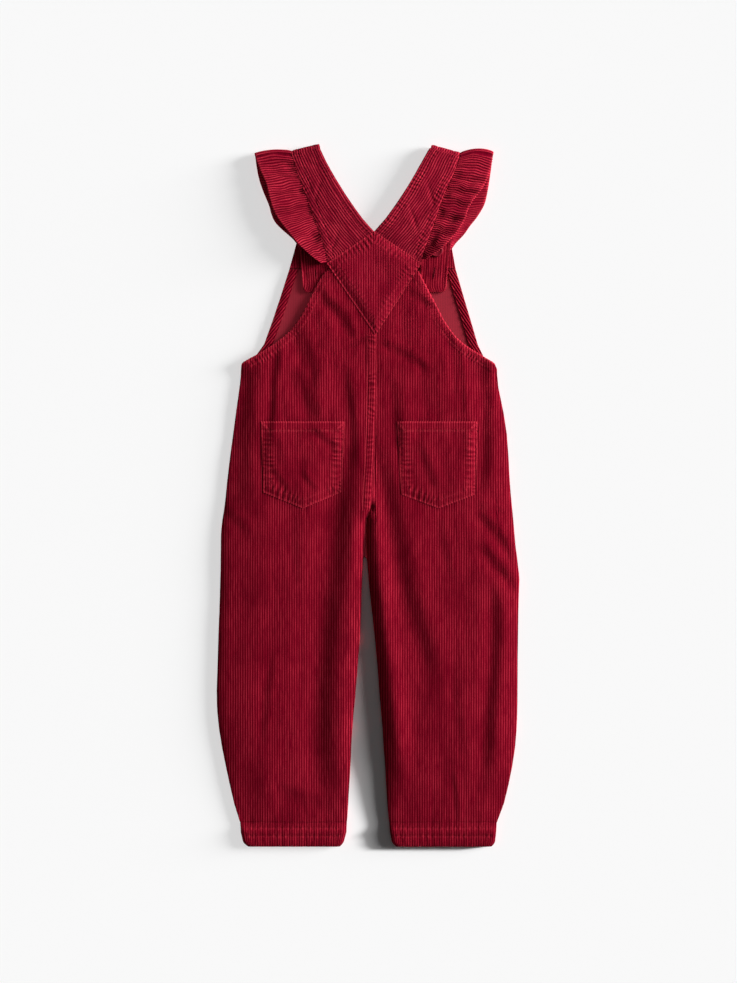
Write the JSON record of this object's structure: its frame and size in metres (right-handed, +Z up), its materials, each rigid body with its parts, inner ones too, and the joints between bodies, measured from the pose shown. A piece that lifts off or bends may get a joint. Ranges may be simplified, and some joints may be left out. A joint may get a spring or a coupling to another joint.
{
  "type": "toddler overalls",
  "caption": "Toddler overalls in midwale corduroy with ruffled crossed straps, laid flat on their front with the back up.",
  "frame": {"origin": "on the surface under the middle of the laid-out garment", "axes": "+X across the garment to the right as it is seen from above, +Y along it from the ankles to the shoulders, +Z up off the surface"},
  "size_m": [0.3021, 0.702, 0.0145],
  "materials": {
    "corduroy": "deep red corduroy pile, lengthwise wales",
    "corduroy_strap": "the same red corduroy, brighter where the pile leans to the light",
    "corduroy_inside": "smooth wrong side of the red corduroy",
    "button": "dark red four-hole button, satin"
  },
  "bodies": {
    "root": {"back_left": "corduroy", "back_right": "corduroy", "front_left": "corduroy_inside", "front_right": "corduroy_inside", "cuff_left": "corduroy", "cuff_right": "corduroy", "pocket_left": "corduroy", "pocket_right": "corduroy", "yoke_patch": "corduroy_strap", "strap_left": "corduroy_strap", "strap_right": "corduroy_strap", "ruffle_left": "corduroy_strap", "ruffle_right": "corduroy_strap", "bib_hem_top": "corduroy", "bib_hem_left": "corduroy", "bib_hem_right": "corduroy", "button_left": "button", "button_right": "button"}
  },
  "joints": []
}
